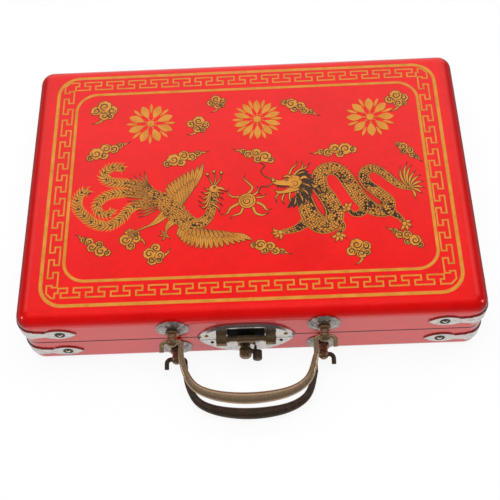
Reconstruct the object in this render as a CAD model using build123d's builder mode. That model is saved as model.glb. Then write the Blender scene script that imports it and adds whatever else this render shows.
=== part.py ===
from build123d import *
import os
from math import asin, cos, radians, sin

# A flat red two-piece case with a hinged lid, two bail handles, a front latch, two drawers
# in the base and a divided tray above them. Millimetres, +Z up, handles towards -Y.
# The origin is the middle of the underside.

# ---- case ----
case_w, case_d = 300.0, 206.0
base_h, seam, lid_h = 27.5, 0.5, 29.0
wall, floor_t, lid_top = 5.0, 3.5, 4.0
corner_r = 10.0          # upright corners, seen from above
lid_roll = corner_r - 1  # rolled edge round the top of the lid
base_roll = 6.0          # rolled edge round the underside
lining_t = 1.0

# ---- running gaps ----
slide_gap = 0.25         # drawer to floor, guides and deck
fit_gap = 0.3            # loose piece to its pocket
pin_gap = 0.05           # pin, shank or axle in its bore

# ---- drawers ----
bracket_gap = 3.5        # drawer opening to the tips of the corner brackets
drawer_wall, drawer_floor = 3.0, 2.0
drawer_felt_t = 0.8
deck_t, deck_felt_t = 2.0, 0.6
deck_room = 5.6          # wood left above the drawer openings
guide_w, ledger_w, stop_w = 5.0, 4.0, 12.0
drawer_front_t = wall
pull_r, pull_len = 4.5, 8.5

# ---- tray ----
tray_wall, tray_h = 3.0, 22.0
tray_side_room = 3.0     # tray to the end walls, for the lining
tray_front_room = 4.0    # tray to the front and back walls, so that the lid clears it as it opens
tray_corner = tray_wall + 1
tray_columns = 3

# ---- handles ----
handle_x = -2.2          # both handles sit a little left of the middle
post_span = 96.8         # between the two posts of one handle
post_reach = 9.3         # wall to the middle of the ball
ball_r, neck_r, collar_r, post_shank_r = 3.5, 2.9, 4.3, 2.0
rose_r, rose_t, rose_rim = 10.6, 2.8, 0.5
rod_r, arm_r, bend_r, grip_r = 1.5, 2.05, 2.9, 3.65
handle_reach = 36.8      # ball to the middle of the grip
droop = 15.5             # both handles hang this many degrees below level

# ---- latch ----
latch_x = -3.8
latch_w, latch_rise, latch_fall, latch_t = 64.0, 18.6, 21.0, 2.2
latch_bevel = 1.3
knuckle_half_span, knuckle_w, knuckle_r = 15.8, 6.6, 4.3
bar_r, bar_up, bar_out = 1.7, 5.6, 4.9    # bar above the seam and out from the wall
window_w, window_h, window_up = 23.6, 12.9, 2.7
tongue_w, tongue_t, tongue_drop = 11.6, 1.8, 8.9
stud_x, stud_down = -1.1, 7.75            # stud from the latch middle and below the seam
stud_r, stud_head_r, stud_collar_r, stud_len = 2.2, 4.0, 3.3, 12.6
lever_t, lever_hub_r, lever_arm_w, lever_gap = 1.5, 4.0, 4.4, 0.4
finger_in, finger_out, finger_deep = 6.0, 7.5, 2.0
peg_reach, peg_angle, peg_r, peg_len = 8.7, -28.0, 3.1, 4.6

# ---- corner brackets ----
strap_t = 0.9
strap_len, strap_flare, strap_waist, strap_eye = 38.5, 4.8, 2.8, 5.6
eye_at = 27.0            # nail from the case corner
base_strap_up, lid_strap_down = 1.0, 2.2  # brackets off the middle of each half's wall, towards the seam

# ---- back hinges ----
hinge_x, hinge_w, leaf_h, leaf_t = 85.0, 26.0, 14.0, 1.0
hinge_r, hinge_pin_r, hinge_out, knuckle_gap = 2.0, 1.0, 2.5, 0.3

# ---- nails ----
nail_shank_r, nail_depth = 0.6, 3.5
nail_head_r, nail_head_h = 1.6, 0.9

# ---- worked out ----
seam_z = base_h + seam / 2
lid_z = base_h + seam
case_h = lid_z + lid_h
front_y, back_y, side_x = -case_d / 2, case_d / 2, case_w / 2
in_w, in_d = case_w - 2 * wall, case_d - 2 * wall
deck_z = base_h - deck_room
deck_top = deck_z + deck_t
tray_z = deck_top + deck_felt_t
drawer_h = deck_z - floor_t - 2 * slide_gap
drawer_z = floor_t + slide_gap
opening_w = case_d - 2 * (strap_len + bracket_gap)
drawer_w = opening_w - 2 * slide_gap
tray_w, tray_d = in_w - 2 * tray_side_room, in_d - 2 * tray_front_room
base_mid_z = base_h / 2
lid_mid_z = lid_z + lid_h / 2
base_strap_z, lid_strap_z = base_mid_z + base_strap_up, lid_mid_z - lid_strap_down
hinge_y = back_y + hinge_out
bar_z, bar_y = seam_z + bar_up, front_y - bar_out
stud_z, stud_at_x = seam_z - stud_down, latch_x + stud_x
plate_y = front_y - latch_t
tongue_back = bar_y + tongue_t / 2
lever_back = bar_y - tongue_t / 2 - lever_gap
post_y = front_y - post_reach
post_xs = (handle_x - post_span / 2, handle_x + post_span / 2)
hinge_xs = (-hinge_x, hinge_x)
corners = {"front_left": (-1, -1), "front_right": (1, -1), "back_left": (-1, 1), "back_right": (1, 1)}

os.makedirs("parts", exist_ok=True)


def save(part, label):
    part.label = label
    export_step(part, f"parts/{label}.step")


def rounded_block(w, d, r, z0, z1, mode=Mode.ADD):
    """An upright block with rounded corners, between two heights."""
    with BuildSketch(Plane.XY.offset(z0)) as footprint:
        RectangleRounded(w, d, r)
    extrude(footprint.sketch, amount=z1 - z0, mode=mode)


def block(x0, x1, y0, y1, z0, z1, mode=Mode.ADD):
    """A plain block given by its six faces."""
    with BuildSketch(Plane.XY.offset(z0)) as footprint:
        with Locations(((x0 + x1) / 2, (y0 + y1) / 2)):
            Rectangle(x1 - x0, y1 - y0)
    extrude(footprint.sketch, amount=z1 - z0, mode=mode)


def front_plane(x, z, out=0.0):
    """A plane on the front wall, facing out, with its x to the right and its y up."""
    return Plane(origin=(x, front_y - out, z), x_dir=(1, 0, 0), z_dir=(0, -1, 0))


def back_plane(x, z, out=0.0):
    return Plane(origin=(x, back_y + out, z), x_dir=(-1, 0, 0), z_dir=(0, 1, 0))


def side_plane(sign, y, z, out=0.0):
    return Plane(origin=(sign * (side_x + out), y, z), x_dir=(0, sign, 0), z_dir=(sign, 0, 0))


def turned(plane, outline):
    """Revolve a profile about the plane's outward axis: outline is (outward, radius) pairs."""
    with BuildSketch(Plane(origin=plane.origin, x_dir=plane.z_dir, z_dir=plane.x_dir)) as section:
        with BuildLine():
            Polyline(*outline, close=True)
        make_face()
    revolve(section.sketch, axis=Axis(plane.origin, plane.z_dir))


def drill(planes, radius, depth):
    """Bores centred on the planes, to the same depth on both sides."""
    with Locations(*[plane.location for plane in planes]):
        Cylinder(radius, 2 * depth, mode=Mode.SUBTRACT)


def dome_arc(foot, radius, rise):
    """An arc of a sphere cap centred on the axis, from its foot to its crown."""
    ball = (radius**2 + rise**2) / (2 * rise)
    half = asin(radius / ball) / 2
    middle = (foot + rise - ball + ball * cos(half), ball * sin(half))
    return ThreePointArc((foot, radius), middle, (foot + rise, 0))


def nails(planes, plate_t, label, head_r=nail_head_r, head_h=nail_head_h):
    """Domed nails through a plate of the given thickness on the planes."""
    with BuildPart() as group:
        for plane in planes:
            head = plane.offset(plate_t)
            with BuildSketch(Plane(origin=head.origin, x_dir=head.z_dir, z_dir=head.x_dir)):
                with BuildLine():
                    Polyline((head_h, 0), (-plate_t - nail_depth, 0), (-plate_t - nail_depth, nail_shank_r),
                             (0, nail_shank_r), (0, head_r))
                    dome_arc(0, head_r, head_h)
                make_face()
            revolve(axis=Axis(head.origin, head.z_dir))
    save(group.part, label)


# ---- where the nails go ----
def bracket_planes(sx, sy, z):
    """The two nails of one corner bracket: one on the long wall, one on the end wall."""
    long_plane = back_plane if sy > 0 else front_plane
    return [long_plane(sx * (side_x - eye_at), z), side_plane(sx, sy * (back_y - eye_at), z)]


base_bracket_spots = [p for s in corners.values() for p in bracket_planes(*s, base_strap_z)]
lid_bracket_spots = [p for s in corners.values() for p in bracket_planes(*s, lid_strap_z)]
hinge_nail_span = hinge_w / 2 - 4.0
base_hinge_spots = [back_plane(x + s * hinge_nail_span, seam_z - leaf_h / 2 - 1) for x in hinge_xs for s in (-1, 1)]
lid_hinge_spots = [back_plane(x + s * hinge_nail_span, seam_z + leaf_h / 2 + 1) for x in hinge_xs for s in (-1, 1)]
lid_nail_x, base_nail_x = 25.6, 22.5
base_latch_spots = [front_plane(latch_x + s * base_nail_x, seam_z - 4.2) for s in (-1, 1)]
lid_latch_spots = [front_plane(latch_x + s * lid_nail_x, seam_z + 5.6) for s in (-1, 1)]
base_post_spots = [front_plane(x, base_mid_z) for x in post_xs]
lid_post_spots = [front_plane(x, lid_mid_z) for x in post_xs]
stud_spot = front_plane(stud_at_x, stud_z)

# ---- base shell: floor and four walls, with an opening in each end for a drawer ----
with BuildPart() as base_shell:
    rounded_block(case_w, case_d, corner_r, 0, base_h)
    fillet(base_shell.faces().sort_by(Axis.Z)[0].edges(), base_roll)
    rounded_block(in_w, in_d, corner_r - wall, floor_t, base_h, mode=Mode.SUBTRACT)
    block(-side_x, side_x, -opening_w / 2, opening_w / 2, floor_t, deck_z, mode=Mode.SUBTRACT)
    drill(base_bracket_spots + base_hinge_spots + base_latch_spots, nail_shank_r + pin_gap, nail_depth)
    drill(base_post_spots, post_shank_r + pin_gap, wall)
    drill([stud_spot], stud_r + pin_gap, wall)
save(base_shell.part, "base_shell")

# ---- drawer guides, deck ledgers and the stop between the drawers ----
with BuildPart() as drawer_guides:
    for s in (-1, 1):
        y0 = s * (opening_w / 2 + guide_w / 2)
        block(-in_w / 2, in_w / 2, y0 - guide_w / 2, y0 + guide_w / 2, floor_t, deck_z)
save(drawer_guides.part, "drawer_guides")

with BuildPart() as deck_ledgers:
    for s in (-1, 1):
        y0 = s * (in_d / 2 - ledger_w / 2)
        block(-in_w / 2 + corner_r, in_w / 2 - corner_r, y0 - ledger_w / 2, y0 + ledger_w / 2, floor_t, deck_z)
    drill([front_plane(p.origin.X, p.origin.Z) for p in base_post_spots + [stud_spot]],
          post_shank_r + 1.0, wall + ledger_w)
save(deck_ledgers.part, "deck_ledgers")

with BuildPart() as drawer_stop:
    block(-stop_w / 2, stop_w / 2, -opening_w / 2, opening_w / 2, floor_t, deck_z)
save(drawer_stop.part, "drawer_stop")

with BuildPart() as deck_panel:
    rounded_block(in_w, in_d, corner_r - wall, deck_z, deck_top)
save(deck_panel.part, "deck_panel")

with BuildPart() as deck_felt:
    rounded_block(in_w, in_d, corner_r - wall, deck_top, tray_z)
save(deck_felt.part, "deck_felt")

# ---- divided tray on the deck ----
with BuildPart() as tray_frame:
    rounded_block(tray_w, tray_d, tray_corner, tray_z, tray_z + tray_h)
    rounded_block(tray_w - 2 * tray_wall, tray_d - 2 * tray_wall, tray_corner - tray_wall, tray_z,
                  tray_z + tray_h, mode=Mode.SUBTRACT)
save(tray_frame.part, "tray_frame")

divider_h = tray_h - 2.0
tray_in_w, tray_in_d = tray_w - 2 * tray_wall, tray_d - 2 * tray_wall
with BuildPart() as tray_long_divider:
    block(-tray_in_w / 2, tray_in_w / 2, -tray_wall / 2, tray_wall / 2, tray_z, tray_z + divider_h)
save(tray_long_divider.part, "tray_long_divider")

column_w = (tray_in_w - (tray_columns - 1) * tray_wall) / tray_columns
with BuildPart() as tray_cross_dividers:
    for column in range(1, tray_columns):
        x0 = -tray_in_w / 2 + column * (column_w + tray_wall) - tray_wall
        block(x0, x0 + tray_wall, -tray_in_d / 2, -tray_wall / 2, tray_z, tray_z + divider_h)
        block(x0, x0 + tray_wall, tray_wall / 2, tray_in_d / 2, tray_z, tray_z + divider_h)
save(tray_cross_dividers.part, "tray_cross_dividers")


# ---- drawers: one slides out of each end ----
def drawer(sign, side):
    """A box, its covered front, a felt pad and a turned pull."""
    back_x = stop_w / 2 + 1.0
    front_x = side_x - drawer_front_t
    xs = sorted((sign * back_x, sign * front_x))
    inner = sorted((sign * (back_x + drawer_wall), sign * front_x))
    half = drawer_w / 2
    with BuildPart() as box:
        block(*xs, -half, half, drawer_z, drawer_z + drawer_h)
        block(*inner, -half + drawer_wall, half - drawer_wall, drawer_z + drawer_floor,
              drawer_z + drawer_h, mode=Mode.SUBTRACT)
    save(box.part, f"{side}_drawer_box")
    with BuildPart() as front:
        block(*sorted((sign * front_x, sign * side_x)), -half, half, drawer_z, drawer_z + drawer_h)
        fillet(front.faces().sort_by(Axis.X)[-1 if sign > 0 else 0].edges(), 0.8)
        drill([side_plane(sign, 0, base_mid_z)], 1.5 + pin_gap, drawer_front_t)
    save(front.part, f"{side}_drawer_front")
    with BuildPart() as pad:
        block(*inner, -half + drawer_wall, half - drawer_wall, drawer_z + drawer_floor,
              drawer_z + drawer_floor + drawer_felt_t)
    save(pad.part, f"{side}_drawer_felt")
    with BuildPart() as pull:
        turned(side_plane(sign, 0, base_mid_z),
               [(-drawer_front_t, 0), (-drawer_front_t, 1.5), (0, 1.5), (0, 3.4), (0.8, 3.4), (1.4, 2.0),
                (3.6, 1.8), (5.0, pull_r - 0.4), (6.6, pull_r), (pull_len - 0.7, pull_r - 0.8),
                (pull_len, pull_r - 2.4), (pull_len, 0)])
    save(pull.part, f"{side}_drawer_pull")


drawer(-1, "left")
drawer(1, "right")

# ---- lid shell and its lining ----
with BuildPart() as lid_shell:
    rounded_block(case_w, case_d, corner_r, lid_z, case_h)
    fillet(lid_shell.faces().sort_by(Axis.Z)[-1].edges(), lid_roll)
    rounded_block(in_w, in_d, corner_r - wall, lid_z, case_h - lid_top, mode=Mode.SUBTRACT)
    drill(lid_bracket_spots + lid_hinge_spots + lid_latch_spots, nail_shank_r + pin_gap, nail_depth)
    drill(lid_post_spots, post_shank_r + pin_gap, wall)
save(lid_shell.part, "lid_shell")

with BuildPart() as lid_lining:
    rounded_block(in_w, in_d, corner_r - wall, lid_z + 0.5, case_h - lid_top)
    rounded_block(in_w - 2 * lining_t, in_d - 2 * lining_t, corner_r - wall - lining_t, lid_z + 0.5,
                  case_h - lid_top - lining_t, mode=Mode.SUBTRACT)
save(lid_lining.part, "lid_lining")


# ---- corner brackets: an eye-ended strap bent round each upright corner ----
def strap_outline(plane):
    """The strap's face, from the case corner along the wall in the plane's +x."""
    waist_at, eye_end = 18.0, 35.2
    with BuildSketch(plane) as face:
        with BuildLine():
            for v in (1, -1):
                Spline((0, v * strap_flare), (7, v * (strap_flare - 0.5)), (waist_at, v * strap_waist))
                ThreePointArc((waist_at, v * strap_waist), (eye_at, v * strap_eye),
                              (eye_end, v * strap_waist))
                Line((eye_end, v * strap_waist), (strap_len, 0))
            Line((0, strap_flare), (0, -strap_flare))
        make_face()
    return face


def bracket(sx, sy, z, label):
    """One bracket, cut from a thin ring round the case by the two strap outlines."""
    with BuildPart() as reach:
        long_wall = Plane(origin=(sx * (side_x + strap_t), sy * (back_y + 2), z), x_dir=(-sx, 0, 0), z_dir=(0, -sy, 0))
        end_wall = Plane(origin=(sx * (side_x + 2), sy * (back_y + strap_t), z), x_dir=(0, -sy, 0), z_dir=(-sx, 0, 0))
        for plane in (long_wall, end_wall):
            extrude(strap_outline(plane).sketch, amount=corner_r + 2)
    with BuildPart() as strap:
        rounded_block(case_w + 2 * strap_t, case_d + 2 * strap_t, corner_r + strap_t, z - 8, z + 8)
        rounded_block(case_w, case_d, corner_r, z - 8, z + 8, mode=Mode.SUBTRACT)
        add(reach.part, mode=Mode.INTERSECT)
        drill(bracket_planes(sx, sy, z), nail_shank_r + pin_gap, 2 * strap_t)
    save(strap.part, label)


for corner, (sx, sy) in corners.items():
    bracket(sx, sy, base_strap_z, f"base_bracket_{corner}")
    bracket(sx, sy, lid_strap_z, f"lid_bracket_{corner}")
nails(base_bracket_spots, strap_t, "base_bracket_nails")
nails(lid_bracket_spots, strap_t, "lid_bracket_nails")


# ---- handle posts and roses ----
def roses(spots, label):
    """Domed round plates behind the posts."""
    with BuildPart() as pair:
        for plane in spots:
            with BuildSketch(Plane(origin=plane.origin, x_dir=plane.z_dir, z_dir=plane.x_dir)):
                with BuildLine():
                    Line((rose_t, 0), (0, 0))
                    Line((0, 0), (0, rose_r))
                    Line((0, rose_r), (rose_rim, rose_r))
                    dome_arc(rose_rim, rose_r, rose_t - rose_rim)
                make_face()
            revolve(axis=Axis(plane.origin, plane.z_dir))
        drill(spots, post_shank_r + pin_gap, rose_t + 1)
    save(pair.part, label)


def posts(spots, label):
    """Shank, collar, neck and a ball bored along X for the handle."""
    collar_end = rose_t + 2.0
    with BuildPart() as pair:
        for plane in spots:
            turned(plane, [(-wall, 0), (-wall, post_shank_r), (rose_t, post_shank_r), (rose_t, collar_r - 0.5),
                           (rose_t + 0.5, collar_r), (collar_end - 0.5, collar_r), (collar_end, collar_r - 0.5),
                           (collar_end, neck_r), (post_reach - 2.6, neck_r), (post_reach, 3.1), (post_reach, 0)])
            with Locations(plane.offset(post_reach).location):
                Sphere(ball_r)
        bores = [Plane(origin=(p.origin.X, post_y, p.origin.Z), x_dir=(0, 1, 0), z_dir=(1, 0, 0)) for p in spots]
        drill(bores, rod_r + pin_gap, ball_r + 2)
    save(pair.part, label)


roses(base_post_spots, "lower_handle_roses")
roses(lid_post_spots, "upper_handle_roses")
posts(base_post_spots, "lower_handle_posts")
posts(lid_post_spots, "upper_handle_posts")


# ---- bail handles ----
# One bail about its own pivot line: a rod through both balls, a bowed grip that thickens to the
# middle, and a short curled tail outside each ball.
half_span = post_span / 2
straight = ball_r + 0.15
tail_bend, tail_end, arm_bend, arm_start = 2.9, 6.6, 2.1, 4.6
hang = Plane(origin=(0, 0, 0), x_dir=(1, 0, 0), z_dir=(0, sin(radians(droop)), -cos(radians(droop))))
arm_x = half_span - straight - arm_bend
half_grip = [(-arm_x, arm_start), (-arm_x + 0.3, 11.5), (-half_span + 9.0, 21.2), (-half_span + 13.3, 27.8),
             (-half_span + 21.0, 32.5), (-half_span + 33.0, 35.6)]
grip_points = half_grip + [(0, handle_reach)] + [(-x, y) for x, y in reversed(half_grip)]
root_r = rod_r + 0.12    # the grip's ends swallow the rod's ends
grip_sizes = [(0.0, root_r), (0.1, arm_r), (0.25, bend_r), (0.5, grip_r), (0.75, bend_r), (0.9, arm_r), (1.0, root_r)]
with BuildPart() as bail:
    with BuildLine(hang) as grip_line:
        Spline(*grip_points, tangents=[(0, 1), (0, -1)])
    grip_path = grip_line.line
    for at, radius in grip_sizes:
        with BuildSketch(Plane(origin=grip_path @ at, x_dir=hang.z_dir, z_dir=grip_path % at)):
            Circle(radius)
    sweep(path=grip_path, multisection=True)
    for s in (-1, 1):
        tail_x = half_span + straight + tail_bend
        with BuildLine(hang) as end_line:
            FilletPolyline((s * arm_x, arm_start + rod_r), (s * arm_x, 0), (s * tail_x, 0), (s * tail_x, tail_end),
                           radius=[arm_bend, tail_bend])
        end_path = end_line.wires()[0]
        with BuildSketch(Plane(origin=end_path @ 0, x_dir=hang.z_dir, z_dir=end_path % 0)):
            Circle(rod_r)
        sweep(path=end_path)
for pivot_z, label in ((base_mid_z, "lower_handle"), (lid_mid_z, "upper_handle")):
    with BuildPart() as placed_bail:
        with Locations((handle_x, post_y, pivot_z)):
            add(bail.part)
    save(placed_bail.part, label)


# ---- latch plates: one pointed oval, split along the seam ----
def latch_plate(label, z0, z1):
    half_crown = [(1.0, 0.0), (0.77, 0.64), (0.60, 0.84), (0.37, 0.965)]
    crown = [(-u * latch_w / 2, v * latch_rise) for u, v in half_crown] + [(0, latch_rise)]
    crown += [(-x, y) for x, y in reversed(crown[:-1])]
    with BuildPart() as plate:
        with BuildSketch(front_plane(latch_x, seam_z)):
            with BuildLine():
                Spline(*crown)
                ThreePointArc((latch_w / 2, 0), (0, -latch_fall), (-latch_w / 2, 0))
            make_face()
        extrude(amount=latch_t)
        chamfer(plate.faces().sort_by(Axis.Y)[0].edges(), latch_bevel)
        block(latch_x - latch_w, latch_x + latch_w, front_y - 2 * latch_t, front_y, z0, z1, mode=Mode.INTERSECT)
        if z0 > seam_z:
            block(latch_x - window_w / 2, latch_x + window_w / 2, plate_y - 1, front_y, seam_z + window_up,
                  seam_z + window_up + window_h, mode=Mode.SUBTRACT)
        drill(lid_latch_spots + base_latch_spots, nail_shank_r + pin_gap, 2 * latch_t)
        drill([stud_spot], stud_r + pin_gap, 2 * latch_t)
    save(plate.part, label)


latch_plate("base_latch_plate", seam_z - 2 * latch_fall, base_h)
latch_plate("lid_latch_plate", lid_z, seam_z + 2 * latch_rise)
nails(base_latch_spots, latch_t, "base_latch_nails", 1.3, 0.8)
nails(lid_latch_spots, latch_t, "lid_latch_nails", 1.5, 0.9)

with BuildPart() as latch_backing:
    with BuildSketch(front_plane(latch_x, seam_z + window_up + window_h / 2)):
        Rectangle(window_w, window_h)
    extrude(amount=latch_t / 2)
save(latch_backing.part, "latch_backing")

# ---- knuckles that carry the bar ----
with BuildPart() as latch_knuckles:
    for s in (-1, 1):
        x0 = latch_x + s * knuckle_half_span - knuckle_w / 2
        with BuildSketch(Plane(origin=(x0, bar_y, bar_z), x_dir=(0, 1, 0), z_dir=(1, 0, 0))):
            Circle(knuckle_r)
            with Locations(((plate_y - bar_y) / 2, 0)):
                Rectangle(plate_y - bar_y, 2 * knuckle_r)
            with BuildLine():
                Polyline((plate_y - bar_y, -knuckle_r - 1), (plate_y - bar_y, knuckle_r + 1),
                         (knuckle_r + 1, knuckle_r + 1), (knuckle_r + 1, -knuckle_r - 1), close=True)
            make_face(mode=Mode.SUBTRACT)
        extrude(amount=knuckle_w)
    drill([Plane(origin=(latch_x, bar_y, bar_z), x_dir=(0, 1, 0), z_dir=(1, 0, 0))], bar_r + pin_gap, latch_w)
save(latch_knuckles.part, "latch_knuckles")

# ---- hasp: a bar with rounded ends and a slotted tongue ----
bar_half = knuckle_half_span + knuckle_w / 2 + 0.4
collar_at = knuckle_half_span - knuckle_w / 2 - fit_gap
stud_dx, stud_dz = stud_at_x - latch_x, stud_z - bar_z
slot_in, slot_out = finger_in - lever_gap, finger_out + lever_gap
with BuildPart() as hasp_tongue:
    with BuildSketch(Plane(origin=(latch_x, tongue_back, bar_z), x_dir=(1, 0, 0), z_dir=(0, -1, 0))):
        with Locations((0, -tongue_drop / 2)):
            Rectangle(tongue_w, tongue_drop)
        with BuildLine():
            CenterArc((stud_dx, stud_dz), slot_out, -10, 106)
            Line((stud_dx + slot_out * cos(radians(96)), stud_dz + slot_out * sin(radians(96))),
                 (stud_dx + slot_in * cos(radians(96)), stud_dz + slot_in * sin(radians(96))))
            CenterArc((stud_dx, stud_dz), slot_in, -10, 106)
            Line((stud_dx + slot_in * cos(radians(-10)), stud_dz + slot_in * sin(radians(-10))),
                 (stud_dx + slot_out * cos(radians(-10)), stud_dz + slot_out * sin(radians(-10))))
        make_face(mode=Mode.SUBTRACT)
    extrude(amount=tongue_t)
    with BuildSketch(Plane(origin=(latch_x - tongue_w / 2, bar_y, bar_z), x_dir=(0, 1, 0), z_dir=(1, 0, 0))):
        Circle(bar_r + 0.7)
    extrude(amount=tongue_w)
    drill([Plane(origin=(latch_x, bar_y, bar_z), x_dir=(0, 1, 0), z_dir=(1, 0, 0))], bar_r, tongue_w)
save(hasp_tongue.part, "hasp_tongue")

with BuildPart() as hasp_bar:
    turned(Plane(origin=(latch_x, bar_y, bar_z), x_dir=(0, 1, 0), z_dir=(1, 0, 0)),
           [(-bar_half, 0), (-bar_half, bar_r - 0.5), (-bar_half + 0.5, bar_r), (-collar_at, bar_r),
            (-collar_at, bar_r + 0.6), (-collar_at + 1.2, bar_r + 0.6), (-collar_at + 1.2, bar_r),
            (collar_at - 1.2, bar_r), (collar_at - 1.2, bar_r + 0.6), (collar_at, bar_r + 0.6),
            (collar_at, bar_r), (bar_half - 0.5, bar_r), (bar_half, bar_r - 0.5), (bar_half, 0)])
save(hasp_bar.part, "hasp_bar")

# ---- catch stud on the base, with a flat and two rivets on its head ----
hub_back, hub_front = front_y - lever_back, front_y - lever_back + lever_t
head_start = hub_front + 0.3
flat_up = stud_head_r - 0.9
with BuildPart() as catch_stud:
    turned(stud_spot, [(-wall, 0), (-wall, stud_r), (latch_t, stud_r), (latch_t, stud_collar_r),
                       (hub_back - 0.15, stud_collar_r), (hub_back - 0.15, stud_r), (head_start, stud_r),
                       (head_start, stud_head_r), (stud_len - 1.6, stud_head_r), (stud_len - 0.5, stud_head_r - 0.8),
                       (stud_len, stud_head_r - 2.0), (stud_len, 0)])
    block(stud_at_x - 3, stud_at_x + 3, front_y - stud_len, front_y - head_start,
          stud_z + flat_up, stud_z + stud_head_r + 1, mode=Mode.SUBTRACT)
save(catch_stud.part, "catch_stud")

rivet_y = front_y - (head_start + 1.9)
with BuildPart() as stud_rivets:
    for s in (-1, 1):
        with BuildSketch(Plane.XY.offset(stud_z + flat_up)):
            with Locations((stud_at_x + s * 1.25, rivet_y)):
                Circle(0.75)
        extrude(amount=0.5)
save(stud_rivets.part, "stud_rivets")


# ---- catch lever: hub, arm, thumb peg and the curved finger that enters the tongue's slot ----
def polar(radius, degrees):
    return (radius * cos(radians(degrees)), radius * sin(radians(degrees)))


finger_from, finger_to = -24.0, 9.0
lever_face = Plane(origin=(stud_at_x, lever_back, stud_z), x_dir=(1, 0, 0), z_dir=(0, -1, 0))
with BuildSketch(lever_face) as finger:
    with BuildLine():
        CenterArc((0, 0), finger_out, finger_from, finger_to - finger_from)
        Line(polar(finger_out, finger_to), polar(finger_in, finger_to))
        CenterArc((0, 0), finger_in, finger_from, finger_to - finger_from)
        Line(polar(finger_in, finger_from), polar(finger_out, finger_from))
    make_face()
with BuildPart() as catch_lever:
    with BuildSketch(lever_face):
        Circle(lever_hub_r)
        with Locations(polar(peg_reach, peg_angle)):
            Circle(peg_r)
        with Locations(Location((*polar(peg_reach / 2, peg_angle), 0), (0, 0, peg_angle))):
            Rectangle(peg_reach, lever_arm_w)
        Circle(stud_r + pin_gap, mode=Mode.SUBTRACT)
    extrude(amount=lever_t)
    extrude(finger.sketch, amount=lever_t)
    extrude(finger.sketch, amount=-finger_deep)
    with BuildSketch(lever_face.offset(lever_t)):
        with Locations(polar(peg_reach, peg_angle)):
            Circle(peg_r)
    extrude(amount=peg_len)
    fillet(catch_lever.faces().sort_by(Axis.Y)[0].edges(), 0.9)
save(catch_lever.part, "catch_lever")

# ---- back hinges ----
knuckle_len = (hinge_w - 2 * knuckle_gap) / 3


def hinge_leaves(up, label):
    """Both leaves of one half: up is 1 on the lid, with the middle knuckle, and -1 on the base."""
    spots = lid_hinge_spots if up > 0 else base_hinge_spots
    own = [(-knuckle_len / 2, knuckle_len / 2)] if up > 0 else [
        (-hinge_w / 2, -hinge_w / 2 + knuckle_len), (hinge_w / 2 - knuckle_len, hinge_w / 2)]
    other = [(-hinge_w / 2, -knuckle_len / 2), (knuckle_len / 2, hinge_w / 2)] if up > 0 else [
        (-knuckle_len / 2 - knuckle_gap, knuckle_len / 2 + knuckle_gap)]
    z0, z1 = sorted((seam_z + up * 0.4, seam_z + up * (leaf_h + 1)))
    with BuildPart() as leaves:
        for x in hinge_xs:
            block(x - hinge_w / 2, x + hinge_w / 2, back_y, back_y + leaf_t, z0, z1)
            for x0, x1 in own:
                with BuildSketch(Plane(origin=(x + x0, hinge_y, seam_z), x_dir=(0, 1, 0), z_dir=(1, 0, 0))):
                    Circle(hinge_r)
                extrude(amount=x1 - x0)
            for x0, x1 in other:
                with BuildSketch(Plane(origin=(x + x0, hinge_y, seam_z), x_dir=(0, 1, 0), z_dir=(1, 0, 0))):
                    Circle(hinge_r + knuckle_gap)
                extrude(amount=x1 - x0, mode=Mode.SUBTRACT)
            drill([Plane(origin=(x, hinge_y, seam_z), x_dir=(0, 1, 0), z_dir=(1, 0, 0))],
                  hinge_pin_r + pin_gap, hinge_w)
        drill(spots, nail_shank_r + pin_gap, 2 * leaf_t)
    save(leaves.part, label)


hinge_leaves(1, "lid_hinge_leaves")
hinge_leaves(-1, "base_hinge_leaves")
nails(base_hinge_spots, leaf_t, "base_hinge_nails", 1.4, 0.7)
nails(lid_hinge_spots, leaf_t, "lid_hinge_nails", 1.4, 0.7)

with BuildPart() as hinge_pins:
    for x in hinge_xs:
        turned(Plane(origin=(x, hinge_y, seam_z), x_dir=(0, 1, 0), z_dir=(1, 0, 0)),
               [(-hinge_w / 2 - 0.8, 0), (-hinge_w / 2 - 0.8, hinge_r - 0.3), (-hinge_w / 2, hinge_r - 0.3),
                (-hinge_w / 2, hinge_pin_r), (hinge_w / 2, hinge_pin_r), (hinge_w / 2, hinge_r - 0.3),
                (hinge_w / 2 + 0.8, hinge_r - 0.3), (hinge_w / 2 + 0.8, 0)])
save(hinge_pins.part, "hinge_pins")
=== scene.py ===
"""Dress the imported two-drawer game tile case: finishes, the gold print on the lid, light and camera."""

import bpy
import numpy as np
from mathutils import Matrix, Vector


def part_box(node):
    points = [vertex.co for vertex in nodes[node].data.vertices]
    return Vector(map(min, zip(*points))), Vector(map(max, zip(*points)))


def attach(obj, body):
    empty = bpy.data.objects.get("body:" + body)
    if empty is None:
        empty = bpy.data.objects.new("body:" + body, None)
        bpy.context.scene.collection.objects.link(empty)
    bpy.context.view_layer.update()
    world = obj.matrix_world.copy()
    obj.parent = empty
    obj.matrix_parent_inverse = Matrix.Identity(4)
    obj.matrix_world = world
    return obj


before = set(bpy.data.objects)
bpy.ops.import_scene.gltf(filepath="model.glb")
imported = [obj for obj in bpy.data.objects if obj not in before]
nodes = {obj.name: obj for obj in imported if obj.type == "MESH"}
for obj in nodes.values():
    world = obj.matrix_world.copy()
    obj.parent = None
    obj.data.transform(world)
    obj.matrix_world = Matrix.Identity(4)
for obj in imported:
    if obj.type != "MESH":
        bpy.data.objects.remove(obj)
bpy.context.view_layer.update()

MM = 0.001
TURN = 2 * np.pi
SIDE_X, BACK_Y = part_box("lid_shell")[1].x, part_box("lid_shell")[1].y
SEAM_Z = (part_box("base_shell")[1].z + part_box("lid_shell")[0].z) / 2


def add_object(name, data):
    """A new object that stands in the scene."""
    made = bpy.data.objects.new(name, data)
    bpy.context.scene.collection.objects.link(made)
    return made


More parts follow.
